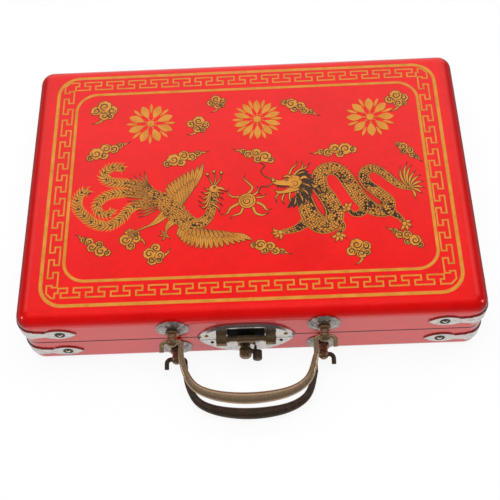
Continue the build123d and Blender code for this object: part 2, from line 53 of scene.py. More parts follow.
# ------------------------------------------------------------------ shader maths
class Flow:
    """One socket of a node tree. Arithmetic on flows adds Math nodes, so a pattern reads as a formula."""

    def __init__(self, tree, socket):
        self.tree = tree
        self.socket = socket

    def node(self, kind, settings=None, inputs=None, out=0):
        """Any other node: its type, its settings first, then the values or links of its sockets."""
        return add_node(self.tree, kind, settings, inputs, out)

    def maths(self, operation, *values):
        return self.node("ShaderNodeMath", {"operation": operation}, dict(enumerate(values)))

    def __add__(self, other):
        return self.maths("ADD", self, other)

    def __radd__(self, other):
        return self.maths("ADD", other, self)

    def __sub__(self, other):
        return self.maths("SUBTRACT", self, other)

    def __rsub__(self, other):
        return self.maths("SUBTRACT", other, self)

    def __mul__(self, other):
        return self.maths("MULTIPLY", self, other)

    def __rmul__(self, other):
        return self.maths("MULTIPLY", other, self)

    def __truediv__(self, other):
        return self.maths("DIVIDE", self, other)

    def __abs__(self):
        return self.maths("ABSOLUTE", self)

    def sine(self):
        return self.maths("SINE", self)

    def most(self, other):
        """The greater of two values."""
        return self.maths("MAXIMUM", self, other)

    def step(self, low, high):
        """0 below low, 1 above high, with a soft change between."""
        settings = {"interpolation_type": "SMOOTHSTEP"}
        return self.node("ShaderNodeMapRange", settings, {"Value": self, "From Min": low, "From Max": high})

    def ramp(self, *stops):
        """A colour for each value: stops are (place, colour) pairs."""
        return self.node("ShaderNodeValToRGB", {"stops": stops}, {"Fac": self})

    def parts(self):
        """The three parts of a vector."""
        return [self.node("ShaderNodeSeparateXYZ", None, {0: self}, out) for out in (0, 1, 2)]


def add_node(tree, kind, settings=None, inputs=None, out=0):
    """A node with its settings made first, then its sockets given numbers, colours or flows."""
    node = tree.nodes.new(kind)
    for name, value in (settings or {}).items():
        if name == "stops":
            set_stops(node.color_ramp, value)
        else:
            setattr(node, name, value)
    for key, value in (inputs or {}).items():
        socket = node.inputs[key]
        if isinstance(value, Flow):
            tree.links.new(value.socket, socket)
        else:
            socket.default_value = full(value, socket)
    return Flow(tree, node.outputs[out]) if node.outputs else None


def full(value, socket):
    """A colour of three numbers gets its fourth."""
    if socket.type == "RGBA" and not np.isscalar(value) and len(value) == 3:
        return (*value, 1.0)
    return value


def set_stops(ramp, stops):
    while len(ramp.elements) < len(stops):
        ramp.elements.new(1.0)
    for element, (place, colour) in zip(ramp.elements, stops):
        element.position = place
        element.color = (*colour, 1.0)


class Finish:
    def __init__(self, name):
        self.material = bpy.data.materials.new(name)
        self.material.use_nodes = True
        self.tree = self.material.node_tree
        self.tree.nodes.clear()

    def node(self, kind, settings=None, inputs=None, out=0):
        return add_node(self.tree, kind, settings, inputs, out)

    def place(self):
        """Where a point is on the object, in metres."""
        return self.node("ShaderNodeTexCoord", None, None, 3)

    def uv(self):
        """The piece's own map: millimetres along a stroke and across it."""
        return self.node("ShaderNodeTexCoord", None, None, 2)

    def own(self, name):
        """A number kept on the piece's points."""
        return self.node("ShaderNodeAttribute", {"attribute_name": name}, None, 2)

    def stretched(self, size):
        """Places with each axis multiplied, so that a pattern is drawn out along one of them."""
        return self.node("ShaderNodeMapping", None, {"Vector": self.place(), "Scale": size})

    def noise(self, size, detail=3.0, rough=0.5, at=None):
        """Cloudy variation from 0 to 1, with grains about 1/size of a metre."""
        inputs = {"Vector": at or self.place(), "Scale": size, "Detail": detail, "Roughness": rough}
        return self.node("ShaderNodeTexNoise", None, inputs)

    def cells(self, size, feature="F1", at=None, jitter=1.0):
        """Distance to scattered points, for grain, pits and cracks."""
        inputs = {"Vector": at or self.place(), "Scale": size, "Randomness": jitter}
        return self.node("ShaderNodeTexVoronoi", {"feature": feature}, inputs)

    def blend(self, share, first, second):
        """Two colours mixed: the first where share is 0, the second where it is 1."""
        return self.node("ShaderNodeMix", {"data_type": "RGBA"}, {0: share, 6: first, 7: second}, 2)

    def bump(self, height, depth, strength=1.0):
        """A relief of so many metres from a height of 0 to 1."""
        return self.node("ShaderNodeBump", None, {"Height": height, "Distance": depth, "Strength": strength})

    def edge(self, reach):
        """How near a point is to a sharp edge of its own solid, from 0 to 1."""
        soft = self.node("ShaderNodeBevel", {"samples": 6}, {"Radius": reach})
        true = self.node("ShaderNodeNewGeometry", None, None, 1)
        alike = self.node("ShaderNodeVectorMath", {"operation": "DOT_PRODUCT"}, {0: soft, 1: true}, 1)
        return (1 - alike).step(0.02, 0.28)

    def finish(self, **sockets):
        """The surface itself: socket names with _ for a space."""
        inputs = {name.replace("_", " "): value for name, value in sockets.items()}
        surface = self.node("ShaderNodeBsdfPrincipled", None, inputs)
        self.node("ShaderNodeOutputMaterial", None, {"Surface": surface})
        return self.material


# ------------------------------------------------------------------ finishes of the case
def red_cover():
    """Glossy red lacquered cover over wood: soft mottling, brush lines, fine grain, ends darkened by
    painted shade, rubbed corners and a dark line of painted shade where the two halves meet."""
    made = Finish("glossy_red_cover")
    x, y, z = made.place().parts()
    cloud = made.noise(28.0, 4.0, 0.55)
    brushed = made.noise(60.0, 3.0, 0.6, made.stretched((0.35, 4.0, 4.0)))
    streak = made.noise(90.0, 2.0, 0.5, made.stretched((0.25, 6.0, 1.0)))
    # Painted shade: the colour darkens at both ends of the case, near the full half width.
    side = (abs(x) / SIDE_X).step(0.92, 0.99)
    rubbed = (made.noise(160.0, 4.0, 0.7) * (abs(z - SEAM_Z) / SEAM_Z).step(0.6, 1.0)).step(0.35, 0.75)
    outer = (abs(x) - SIDE_X).most(abs(y) - BACK_Y).step(-0.0020, -0.0008)
    # Painted shade: a near-black line where the halves meet on the outer faces, so the gap looks wider.
    seam_gap_shade = outer * (1 - abs(z - SEAM_Z).step(0.0004, 0.0010))
    red = cloud.ramp((0.30, (0.88, 0.0022, 0.0018)), (0.62, (0.97, 0.0040, 0.0032)))
    red = made.blend(0.10 * streak, red, (0.60, 0.001, 0.001))
    red = made.blend(0.60 * side, red, (0.42, 0.0005, 0.0005))
    red = made.blend(0.10 * rubbed, red, (0.22, 0.004, 0.004))
    red = made.blend(0.92 * seam_gap_shade, red, (0.030, 0.004, 0.004))
    grain = made.cells(2600.0, "SMOOTH_F1")
    relief = 0.3 * grain + 0.3 * brushed
    return made.finish(
        Base_Color=red,
        Metallic=0.25,
        Roughness=0.26 + 0.08 * cloud,
        Coat_Weight=0.9 - 0.8 * seam_gap_shade,
        Coat_Roughness=0.06,
        Coat_IOR=1.5,
        Normal=made.bump(relief, 0.00002, 0.45),
    )


def lining_cloth():
    """Matt red flocked cloth: a fine nap with faint lighter brushed patches."""
    made = Finish("lining_cloth")
    nap = made.noise(4200.0, 2.0, 0.7)
    patch = made.noise(35.0, 3.0, 0.5)
    red = (0.6 * patch + 0.4 * nap).ramp((0.3, (0.20, 0.010, 0.016)), (0.7, (0.36, 0.022, 0.034)))
    pile = made.bump(nap, 0.00012, 0.7)
    return made.finish(Base_Color=red, Roughness=0.92, Sheen_Weight=0.35, Sheen_Roughness=0.4, Normal=pile)


def felt():
    """Dense dark felt: short fibres lying every way."""
    made = Finish("dark_felt")
    fibre = made.cells(1900.0, "F1", made.stretched((1.0, 2.6, 1.0)))
    nap = made.noise(3000.0, 2.0, 0.7)
    grey = (0.5 * fibre + 0.6 * nap).ramp((0.25, (0.020, 0.020, 0.024)), (0.8, (0.085, 0.085, 0.092)))
    pile = made.bump(nap, 0.00015, 0.8)
    return made.finish(Base_Color=grey, Roughness=0.95, Sheen_Weight=0.25, Normal=pile)


def wood(name, dark, light, rough, scale):
    """Straight-grained wood: long streaks, growth bands and short dark pores along X."""
    made = Finish(name)
    sway = made.noise(9.0, 2.0, 0.5)
    y, z = made.place().parts()[1:]
    across = (y + 0.7 * z) * scale + sway * 2.2
    rings = (across * 6.28).sine()
    streak = made.noise(70.0, 5.0, 0.65, made.stretched((0.05, 5.0, 5.0)))
    pores = made.cells(420.0, "F1", made.stretched((0.08, 2.5, 2.5)))
    band = 0.08 * (rings * 0.5 + 0.5) + 0.92 * streak
    colour = band.ramp((0.25, dark), (0.75, light))
    colour = made.blend(0.5 * (1 - pores.step(0.10, 0.26)), colour, tuple(0.4 * part for part in dark))
    relief = made.bump(band + 0.4 * pores, 0.00006, 0.5)
    return made.finish(Base_Color=colour, Roughness=rough + 0.15 * streak, Normal=relief)


def metal(name, tones, patina, rough, brush, streaks, edge_wear_and_shade_tone, edge_wear_and_shade_share, metallic=0.95):
    """Antiqued metal: three tones in cloudy patina, brush lines, pits, and edges either worn bright or given
    a dark outline of painted shade.
    """
    bright, mid, dark = tones
    made = Finish(name)
    cloud = made.noise(220.0, 5.0, 0.62)
    fine = made.noise(1500.0, 3.0, 0.6)
    lines = made.noise(420.0, 2.0, 0.6, made.stretched(brush))
    pits = 1 - made.cells(900.0, "F1").step(0.08, 0.20)
    edge = made.edge(0.0008)
    tone = (0.60 * cloud + 0.25 * fine + 0.15 * lines).step(patina - 0.16, patina + 0.14)
    colour = made.blend(tone, dark, mid)
    colour = made.blend(streaks * lines.step(0.45, 0.75), colour, bright)
    # A light edge tone is wear; a dark one is a painted shade outline, used on the silver, nails and roses.
    colour = made.blend(edge * edge_wear_and_shade_share, colour, edge_wear_and_shade_tone)
    colour = made.blend(0.5 * pits, colour, dark)
    relief = 0.5 * lines + 0.4 * fine - 0.3 * pits
    return made.finish(
        Base_Color=colour,
        Metallic=metallic - 0.20 * (1 - tone),
        Roughness=rough + 0.16 * (1 - tone),
        Normal=made.bump(relief, 0.00003, 0.45),
    )


def black_iron():
    """A near-black sheet behind the latch window: almost no colour, with faint mottling."""
    made = Finish("near_black_sheet")
    scale = made.noise(700.0, 4.0, 0.7)
    colour = scale.ramp((0.3, (0.003, 0.003, 0.003)), (0.8, (0.014, 0.013, 0.012)))
    rough = 0.55 + 0.3 * scale
    relief = made.bump(scale, 0.00005, 0.5)
    return made.finish(Base_Color=colour, Roughness=rough, Specular_IOR_Level=0.15, Normal=relief)


BRASS = ((0.90, 0.66, 0.30), (0.72, 0.47, 0.17), (0.17, 0.09, 0.03))
PALE_BRASS = ((0.95, 0.90, 0.80), (0.84, 0.76, 0.62), (0.26, 0.20, 0.13))
SILVER = ((0.95, 0.91, 0.88), (0.78, 0.73, 0.70), (0.17, 0.135, 0.110))
BRONZE = ((0.86, 0.70, 0.52), (0.52, 0.355, 0.215), (0.15, 0.090, 0.052))
BROWN = ((0.64, 0.46, 0.28), (0.30, 0.195, 0.110), (0.070, 0.043, 0.024))
DARK_BRONZE = ((0.20, 0.140, 0.095), (0.082, 0.054, 0.037), (0.036, 0.023, 0.016))
# Painted shade: steel toned darker than the silver, for the shade on the domed roses.
ROSE = ((0.78, 0.73, 0.69), (0.48, 0.43, 0.40), (0.10, 0.075, 0.062))
REDDISH = ((0.74, 0.52, 0.33), (0.36, 0.215, 0.125), (0.075, 0.042, 0.025))
EVEN = (1.0, 1.0, 1.0)
ALONG_WALL = (0.5, 1.0, 3.0)

FINISHES = {
    "red_cover": red_cover(),
    "lining_cloth": lining_cloth(),
    "felt": felt(),
    "tray_wood": wood("stained_tray_wood", (0.20, 0.010, 0.010), (0.42, 0.035, 0.028), 0.32, 90.0),
    "plain_wood": wood("plain_wood", (0.36, 0.22, 0.11), (0.62, 0.45, 0.27), 0.55, 70.0),
    # The nails, the silver and the roses take their darkest tone at the edges: a painted shade outline.
    "brass_nail": metal("bright_brass", BRASS, 0.36, 0.16, EVEN, 0.3, BRASS[2], 0.5),
    "pale_nail": metal("pale_brass", PALE_BRASS, 0.34, 0.18, EVEN, 0.3, PALE_BRASS[2], 0.5),
    "silver": metal("aged_silvery_steel", SILVER, 0.38, 0.18, ALONG_WALL, 0.40, SILVER[2], 0.90),
    "rose_steel": metal("steel_in_painted_shade", ROSE, 0.47, 0.16, EVEN, 0.3, ROSE[2], 0.7),
    "bronze": metal("antique_bronze", BRONZE, 0.34, 0.20, EVEN, 0.12, BRONZE[0], 0.15, 0.76),
    "brown_bronze": metal("brown_bronze", BROWN, 0.44, 0.18, ALONG_WALL, 0.30, BROWN[0], 0.35, 0.84),
    "dark_bronze": metal(
        "dark_antique_bronze", DARK_BRONZE, 0.46, 0.42, EVEN, 0.20, DARK_BRONZE[0], 0.20, 0.50
    ),
    "reddish": metal("reddish_bronze", REDDISH, 0.44, 0.17, EVEN, 0.25, REDDISH[0], 0.35, 0.80),
    "black_iron": black_iron(),
}
WEARERS = {
    "red_cover": ["base_shell", "lid_shell", "left_drawer_front", "right_drawer_front"],
    "lining_cloth": ["lid_lining"],
    "felt": ["deck_felt", "left_drawer_felt", "right_drawer_felt"],
    "tray_wood": ["tray_frame", "tray_long_divider", "tray_cross_dividers"],
    "plain_wood": ["drawer_guides", "deck_ledgers", "drawer_stop", "deck_panel"]
    + ["left_drawer_box", "right_drawer_box"],
    "brass_nail": ["lid_latch_nails", "base_hinge_nails", "lid_hinge_nails", "stud_rivets"],
    "pale_nail": ["base_bracket_nails", "lid_bracket_nails"],
    "silver": [name for name in nodes if "_bracket_" in name and not name.endswith("_nails")]
    + ["base_latch_plate", "lid_latch_plate"],
    "rose_steel": ["upper_handle_roses", "lower_handle_roses"],
    "bronze": ["upper_handle", "left_drawer_pull", "right_drawer_pull"]
    + ["base_hinge_leaves", "lid_hinge_leaves", "hinge_pins"],
    "brown_bronze": ["latch_knuckles", "hasp_bar", "hasp_tongue", "catch_stud"],
    "dark_bronze": ["lower_handle", "catch_lever", "base_latch_nails"],
    "reddish": ["upper_handle_posts", "lower_handle_posts"],
    "black_iron": ["latch_backing"],
}
for finish, wearers in WEARERS.items():
    for wearer in wearers:
        mesh = nodes[wearer].data
        if not mesh.materials:
            mesh.materials.append(None)
        for place in range(len(mesh.materials)):
            mesh.materials[place] = FINISHES[finish]


# ------------------------------------------------------------------ finishes of the print
GOLD = (0.80, 0.31, 0.035)
GOLD_LIGHT = (0.88, 0.39, 0.060)
GOLD_DEEP = (0.62, 0.21, 0.022)
INK = (0.040, 0.022, 0.014)


def gold_tone(made):
    """Printed gold: slow change of depth and a fine speckle."""
    mottled = 0.7 * made.noise(120.0, 3.0, 0.6) + 0.3 * made.noise(2400.0, 2.0, 0.7)
    return mottled.ramp((0.30, GOLD_DEEP), (0.50, GOLD), (0.72, GOLD_LIGHT))


def foil(made, colour):
    """The thin printed film: slightly metallic, satin, with a fine grain."""
    grain = made.noise(3500.0, 2.0, 0.6)
    return made.finish(
        Base_Color=colour,
        Metallic=0.35,
        Roughness=0.30 + 0.18 * grain,
        Coat_Weight=0.5,
        Coat_Roughness=0.12,
        Normal=made.bump(grain, 0.000012, 0.5),
    )


def plain_gold():
    """Gold with its edge a little deeper where the film thins."""
    made = Finish("printed_gold")
    edge = 1 - made.own("rim").step(0.05, 0.35)
    return foil(made, made.blend(0.45 * edge, gold_tone(made), GOLD_DEEP))


def inked_gold():
    """Gold with a dark line along each edge."""
    made = Finish("inked_gold")
    line = 1 - made.own("rim").step(0.32, 0.48)
    return foil(made, made.blend(line, gold_tone(made), INK))


def feather_gold():
    """Gold vane with dark edges, a dark shaft and slanted barbs."""
    made = Finish("feather_gold")
    along, across = made.uv().parts()[:2]
    line = 1 - made.own("rim").step(0.22, 0.40)
    shaft = 1 - abs(across).step(0.05, 0.20)
    barbs = ((along - 1.2 * abs(across)) * 3.4).sine()
    inked = line.most(0.75 * shaft).most(0.45 * barbs.step(0.55, 0.95))
    return foil(made, made.blend(inked, gold_tone(made), INK))


def plume_gold():
    """Long tail plume: a dark shaft between gold barbs, with ink between them towards the edge."""
    made = Finish("plume_gold")
    along, across = made.uv().parts()[:2]
    rim = made.own("rim")
    barbs = ((along - 0.9 * abs(across)) * 2.6).sine()
    gaps = barbs.step(0.10, 0.60) * abs(across).step(0.25, 0.80)
    shaft = 1 - abs(across).step(0.12, 0.30)
    eyes = (along * 0.9).sine().step(0.60, 0.85) * (1 - abs(across).step(0.5, 0.9))
    inked = (0.85 * gaps).most((shaft * 0.8).most(eyes)).most(0.8 * (1 - rim.step(0.05, 0.22)))
    return foil(made, made.blend(inked, gold_tone(made), INK))


def scale_gold(name, fineness, gap_width, patches):
    """Gold scales, so many to a millimetre, with dark gaps between them, wider in patches, and a gold line
    along each edge."""
    made = Finish(name)
    rows = made.node("ShaderNodeMapping", None, {"Vector": made.uv(), "Scale": (fineness, fineness, 1.0)})
    wide = gap_width + patches * made.noise(70.0, 2.0, 0.5).step(0.50, 0.62)
    gap = 1 - made.cells(1.0, "DISTANCE_TO_EDGE", rows, 0.55).step(wide, wide + 0.07)
    heart = 1 - made.cells(1.0, "F1", rows, 0.55).step(0.05, 0.13)
    rim = made.own("rim")
    border = rim.step(0.42, 0.58) * (1 - rim.step(0.72, 0.90))
    inked = (gap.most(0.6 * heart) * rim.step(0.42, 0.58)).most(border).most(1 - rim.step(0.06, 0.16))
    return foil(made, made.blend(inked, gold_tone(made), INK))


def print_ink():
    """Brown-black ink."""
    made = Finish("print_ink")
    worn = made.noise(1800.0, 3.0, 0.6)
    return foil(made, worn.ramp((0.35, INK), (0.80, (0.095, 0.055, 0.030))))


# ------------------------------------------------------------------ the print: thin shapes on the lid
LID_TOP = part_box("lid_shell")[1].z / MM
FILM = 0.10         # height of the lowest film above the lid
HAIR = 0.003        # each later shape of a print lies this much higher
OVER = 0.02         # a piece above the one under it
INK_OVER = 0.01     # ink above its gold
MANE_OVER = 0.05    # the mane above the hide
THINNEST = 0.03     # half width that no line goes under
# The section of a strip: share of the half width, share of the height.
SECTION = np.array([(-1, 0), (-1, 0.985), (-0.8, 1), (0, 1), (0.8, 1), (1, 0.985), (1, 0)], float)


def smooth(knots, per=7):
    """A Catmull-Rom curve through the knots: each row is a point and what is carried with it, such as a
    width."""
    knots = np.asarray(knots, float)
    padded = np.concatenate([2 * knots[:1] - knots[1:2], knots, 2 * knots[-1:] - knots[-2:-1]])
    spans = len(knots) - 1
    at = np.arange(spans * per + 1) / per
    first = np.minimum(at.astype(int), spans - 1)
    u = (at - first)[:, None]
    p0, p1, p2, p3 = (padded[first + shift] for shift in range(4))
    bow = 2 * p0 - 5 * p1 + 4 * p2 - p3
    twist = 3 * p1 - p0 - 3 * p2 + p3
    return 0.5 * (2 * p1 + (p2 - p0) * u + bow * u**2 + twist * u**3)


def lengths(path):
    """How far along the path each of its points is."""
    return np.concatenate([[0], np.cumsum(np.linalg.norm(np.diff(path, axis=0), axis=1))])


def leftward(ahead):
    """The directions a quarter turn to the left of these."""
    return np.stack([-ahead[:, 1], ahead[:, 0]], 1)


def bend(points, angle=0.0, size=1.0, at=(0, 0), flip=False):
    """Points turned by an angle in degrees, sized, mirrored if asked, and moved; widths are sized too."""
    points = np.asarray(points, float).copy()
    if flip:
        points[:, 0] *= -1
    a = np.radians(angle)
    x = points[:, 0] * np.cos(a) - points[:, 1] * np.sin(a)
    y = points[:, 0] * np.sin(a) + points[:, 1] * np.cos(a)
    points[:, 0], points[:, 1] = x * size + at[0], y * size + at[1]
    points[:, 2:] *= size
    return points


class Print:
    """Thin raised shapes of one ink, gathered into one mesh that stands on the lid."""

    def __init__(self):
        self.points, self.maps, self.rims, self.faces = [], [], [], []
        self.count = 0
        self.height = FILM

    def keep(self, points, maps, rims, *faces):
        self.points.append(points)
        self.maps.append(maps)
        self.rims.append(rims)
        for group in faces:
            self.faces += (np.asarray(group) + self.count).tolist()
        self.count += len(points)
        self.height += HAIR

    def strip(self, line, left, half, loop=False, rise=0.0):
        """A strip along a line: its section is carried along, each point moved left of the line by a share of
        the half width. It can climb a little along its way, so that it passes over itself."""
        stations, ring = len(line), len(SECTION)
        along = lengths(line)
        across = half[:, None] * SECTION[:, 0]
        tall = (self.height + rise * np.linspace(0, 1, stations))[:, None] * SECTION[:, 1]
        flat = line[:, None, :] + left[:, None, :] * across[:, :, None]
        points = np.concatenate([flat, (LID_TOP + tall)[:, :, None]], axis=2).reshape(-1, 3)
        maps = np.stack([np.repeat(along[:, None], ring, 1), across], 2).reshape(-1, 2)
        rims = (half[:, None] * (1 - np.abs(SECTION[:, 0]))).ravel()
        near = np.arange(stations if loop else stations - 1)[:, None] * ring
        far = (near + ring) % (stations * ring)
        here, beside = np.arange(ring), (np.arange(ring) + 1) % ring
        sides = np.stack([near + here, far + here, far + beside, near + beside], 2).reshape(-1, 4)
        caps = [] if loop else [[np.arange(ring)], [(stations - 1) * ring + np.arange(ring)[::-1]]]
        self.keep(points, maps, rims, sides, *caps)

    def line(self, rows, loop=False, scallop=0.0, rise=0.0):
        """A strip along dense rows of x, y and half width. A scallop makes its edge swell in bows so long."""
        rows = np.asarray(rows, float)
        path, half = rows[:, :2], np.maximum(rows[:, 2], THINNEST)
        ahead = np.roll(path, -1, 0) - np.roll(path, 1, 0) if loop else np.gradient(path, axis=0)
        ahead /= np.linalg.norm(ahead, axis=1)[:, None] + 1e-9
        left = leftward(ahead)
        if scallop:
            half = half * (0.80 + 0.35 * np.abs(np.sin(np.pi * lengths(path) / scallop)))
        self.strip(path, left, half, loop, rise)

    def stroke(self, knots, per=7, **how):
        """A strip along a smooth curve through a few knots of x, y and half width."""
        self.line(smooth(knots, per), **how)

    def fret(self, corners, half):
        """A closed line with square corners: each corner is moved along its mitre."""
        corners = np.asarray(corners, float)
        ahead = np.roll(corners, -1, 0) - corners
        ahead /= np.linalg.norm(ahead, axis=1)[:, None]
        left = leftward(ahead)
        before = np.roll(left, 1, 0)
        mitre = (left + before) / (1 + (left * before).sum(1))[:, None]
        self.strip(corners, mitre, np.full(len(corners), half), loop=True)

    def disc(self, at, radius, bumps=0, depth=0.12, turn=0.0, sides=28, stretch=1.0):
        """A disc whose radius is r (1 + depth |sin(bumps angle / 2)|), drawn out along its turn."""
        angle = np.arange(sides) * TURN / sides
        reach = radius * (1 + depth * np.abs(np.sin(bumps * angle / 2)))
        rim = np.stack([reach * np.cos(angle) * stretch, reach * np.sin(angle)], 1)
        rim = bend(rim, turn)
        shares, heights = np.array([1, 1, 0.8, 0.4]), np.array([0, 0.985, 1, 1]) * self.height
        flat = shares[:, None, None] * rim
        tall = np.broadcast_to(heights[:, None, None], (4, sides, 1))
        rings = np.concatenate([flat, tall], 2).reshape(-1, 3)
        points = np.concatenate([rings, [(0, 0, 0), (0, 0, self.height)]]) + (*at, LID_TOP)
        maps = points[:, :2] - at
        rims = np.concatenate([np.repeat(radius * (1 - shares), sides), [0, radius]])
        low = np.arange(3)[:, None] * sides
        here, beside = np.arange(sides), (np.arange(sides) + 1) % sides
        near, far = low + here, low + beside
        walls = np.stack([near, far, far + sides, near + sides], 2).reshape(-1, 4)
        under = np.stack([beside, here, np.full(sides, 4 * sides)], 1)
        over = np.stack([3 * sides + here, 3 * sides + beside, np.full(sides, 4 * sides + 1)], 1)
        self.keep(points, maps, rims, walls, under, over)

    def curl(self, at, radius, turns, start, hand, half):
        """A spiral line: its radius shrinks evenly with its angle, and it thins at both ends."""
        share = np.linspace(0, 1, 26)
        angle = np.radians(start) + hand * TURN * turns * share
        reach = radius * (1 - 0.86 * share)
        width = half * (0.35 + 0.65 * np.sin(np.pi * np.minimum(share + 0.12, 1)) ** 0.6)
        self.line(np.stack([at[0] + reach * np.cos(angle), at[1] + reach * np.sin(angle), width], 1))

    def piece(self, name, material):
        """The finished mesh, in metres, riding on the lid."""
        mesh = bpy.data.meshes.new(name)
        mesh.from_pydata(np.concatenate(self.points) * MM, [], self.faces)
        loops = np.zeros(len(mesh.loops), np.int32)
        mesh.loops.foreach_get("vertex_index", loops)
        mesh.uv_layers.new(name="strokes").data.foreach_set("uv", np.concatenate(self.maps)[loops].ravel())
        rim = mesh.attributes.new("rim", "FLOAT", "POINT")
        rim.data.foreach_set("value", np.concatenate(self.rims).astype(np.float32))
        mesh.materials.append(material)
        mesh.update()
        made = add_object(name, mesh)
        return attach(made, "lid")


# ------------------------------------------------------------------ border
LINE_X, LINE_Y = (-134.1, 135.0), (-91.4, 92.1)
INNER_X, INNER_Y = (-120.2, 121.5), (-74.2, 76.6)


def rounded_frame(xs, ys, radius, half):
    """A rectangle with quarter-circle corners, each corner worked out as centre plus radius times an angle's
    cosine and sine."""
    quarter = np.linspace(0, np.pi / 2, 14)
    rows = []
    for turn, x, y in ((0, xs[1], ys[1]), (1, xs[0], ys[1]), (2, xs[0], ys[0]), (3, xs[1], ys[0])):
        angle = quarter + turn * np.pi / 2
        centre = (x - np.sign(x) * radius, y - np.sign(y) * radius)
        rows.append(np.stack([centre[0] + radius * np.cos(angle), centre[1] + radius * np.sin(angle)], 1))
    path = np.concatenate(rows)
    return np.concatenate([path, np.full((len(path), 1), half)], 1)


def meander():
    """A closed key-fret line. Along each side it makes bars on the outer and inner level in turn, joined by
    short steps back on the middle level. Each corner is an outer bar that turns the corner with a short
    slant, and no inner bar comes nearer to a corner than the depth of the fret."""
    outer = ((-130.0, 88.3), (130.4, 88.3), (130.4, -85.6), (-130.0, -85.6))
    sides = ((15, 10.0, 6.0), (8, 9.0, 9.0), (15, 10.0, 5.5), (8, 9.0, 9.0))
    hook, deep, room, cut = 4.0, 6.8, 7.6, 3.4
    corners = []
    for side, (units, first_bar, last_bar) in enumerate(sides):
        here, there = np.array(outer[side]), np.array(outer[(side + 1) % 4])
        length = np.linalg.norm(there - here)
        ahead = (there - here) / length
        inward = np.array((ahead[1], -ahead[0]))
        pitch = (length - first_bar - last_bar + hook) / (units + 0.5)
        bar_end = first_bar + pitch * np.arange(units + 1)
        next_start = bar_end + pitch / 2 - hook
        inner_start = np.maximum(bar_end - hook, room)
        inner_end = np.minimum(next_start + hook, length - room)
        runs = [bar_end, bar_end, inner_start, inner_start, inner_end, inner_end, next_start, next_start]
        drops = [0, 0.5, 0.5, 1, 1, 0.5, 0.5, 0]
        run = np.stack(runs, 1).ravel()
        drop = np.tile(drops, units + 1) * deep
        corners.append(here[None] + cut * ahead)
        corners.append(here + run[:, None] * ahead + drop[:, None] * inward)
        corners.append(there[None] - cut * ahead)
    return np.concatenate(corners)


def border():
    """Two gold frame lines with the key fret between them."""
    lines = Print()
    lines.line(rounded_frame(LINE_X, LINE_Y, 15.0, 1.20), loop=True)
    lines.line(rounded_frame(INNER_X, INNER_Y, 14.5, 1.05), loop=True)
    lines.piece("border_lines", PLAIN)
    key = Print()
    key.fret(meander(), 0.55)
    key.piece("key_fret", PLAIN)


# ------------------------------------------------------------------ ornaments
def rosettes():
    """Three open lotus rosettes: broad petals, narrow ones between them, and a seeded heart."""
    gold = Print()
    broad = [(5.2, 0, 0.4), (8.0, 0, 1.9), (11.2, 0, 3.0), (14.2, 0, 2.1), (16.6, 0, 0.1)]
    narrow = [(9.5, 0, 0.3), (12.6, 0, 0.9), (15.0, 0, 1.0), (17.4, 0, 0.1)]
    flowers = (((-67, 49), 8, 1.0, 22.5), ((8, 49), 10, 1.02, 18.0), ((87, 47), 8, 1.0, 0.0))
    for centre, petals, size, start in flowers:
        for petal in range(petals):
            angle = start + 360 * petal / petals
            wide = np.asarray(broad) * (1, 1, 8 / petals)
            gold.stroke(bend(wide, angle, size, centre))
            gold.stroke(bend(narrow, angle + 180 / petals, size, centre))
            gold.disc(bend([(4.1, 0)], angle, size, centre)[0], 0.62, sides=12)
        gold.disc(centre, 2.5 * size, bumps=petals, depth=0.18)
    gold.piece("lotus_rosettes", PLAIN)


TUFT = ((0.52, 0.02, 0.38), (0.42, -0.46, 0.26), (0.02, -0.42, 0.36), (-0.56, 0.02, 0.36), (0.0, 0.36, 0.46))
BANK = (
    (0.92, 0.22, 0.24), (0.50, 0.06, 0.32), (-1.12, -0.18, 0.27), (-0.22, -0.26, 0.30), (0.0, 0.24, 0.36),
    (-0.68, 0.02, 0.44),
)
TUFT_TAIL = ((0.05, -0.55, 0.20), (-0.18, -0.88, 0.11), (-0.46, -1.02, 0.08), (-0.80, -1.06, 0.01))
BANK_TAIL = ((0.90, 0.15, 0.16), (1.20, 0.26, 0.10), (1.42, 0.22, 0.06), (1.72, 0.36, 0.01))
# x, y, form, size in mm, turn in degrees, mirrored
CLOUDS = (
    (-100.5, 62.0, TUFT, 10.5, 0, False),
    (-20.5, 65.5, TUFT, 7.6, 10, False),
    (-33.5, 46.5, TUFT, 8.8, -8, False),
    (37.5, 57.5, BANK, 9.6, -38, False),
    (107.0, 62.0, TUFT, 9.2, 8, False),
    (-97.0, 26.5, BANK, 10.6, 14, False),
    (-43.0, 18.0, BANK, 10.6, 8, False),
    (6.0, 18.0, BANK, 9.8, -12, True),
    (61.0, 19.0, BANK, 10.4, 14, True),
    (110.0, 16.5, BANK, 7.6, -55, False),
    (-101.0, -48.0, BANK, 9.2, 136, False),
    (-77.5, -44.5, TUFT, 8.8, 95, False),
    (-61.5, -56.5, TUFT, 8.8, 78, True),
    (13.0, -55.5, BANK, 9.0, -28, False),
    (71.0, -58.0, TUFT, 9.2, 20, False),
    (102.0, -51.0, BANK, 9.0, -24, True),
)


def clouds():
    """Curled clouds: overlapping scalloped discs, each with a spiral line, and a thinning tail."""
    gold = Print()
    ink = Print()
    for place, (x, y, form, size, turn, flip) in enumerate(CLOUDS):
        gold.height = FILM
        tail = TUFT_TAIL if form is TUFT else BANK_TAIL
        gold.stroke(bend(tail, turn, size, (x, y), flip), scallop=2.2)
        for lobe, (dx, dy, radius) in enumerate(form):
            centre = bend([(dx, dy)], turn, size, (x, y), flip)[0]
            gold.disc(centre, radius * size, bumps=7, depth=0.16, turn=turn + 40 * lobe + 17 * place)
            hand = 1 if (lobe + flip) % 2 else -1
            ink.height = gold.height + INK_OVER
            ink.curl(centre, 0.70 * radius * size, 1.35, turn + 70 * lobe + 31 * place, hand, 0.42)
    gold.piece("cloud_forms", INKED)
    ink.piece("cloud_curls", DARK_INK)


def eye(gold, ink, at, size):
    """A gold disc with a dark ring and a dark middle."""
    gold.disc(at, size, sides=16)
    ink.height = gold.height + INK_OVER
    ink.disc(at, size * 0.45, sides=12)


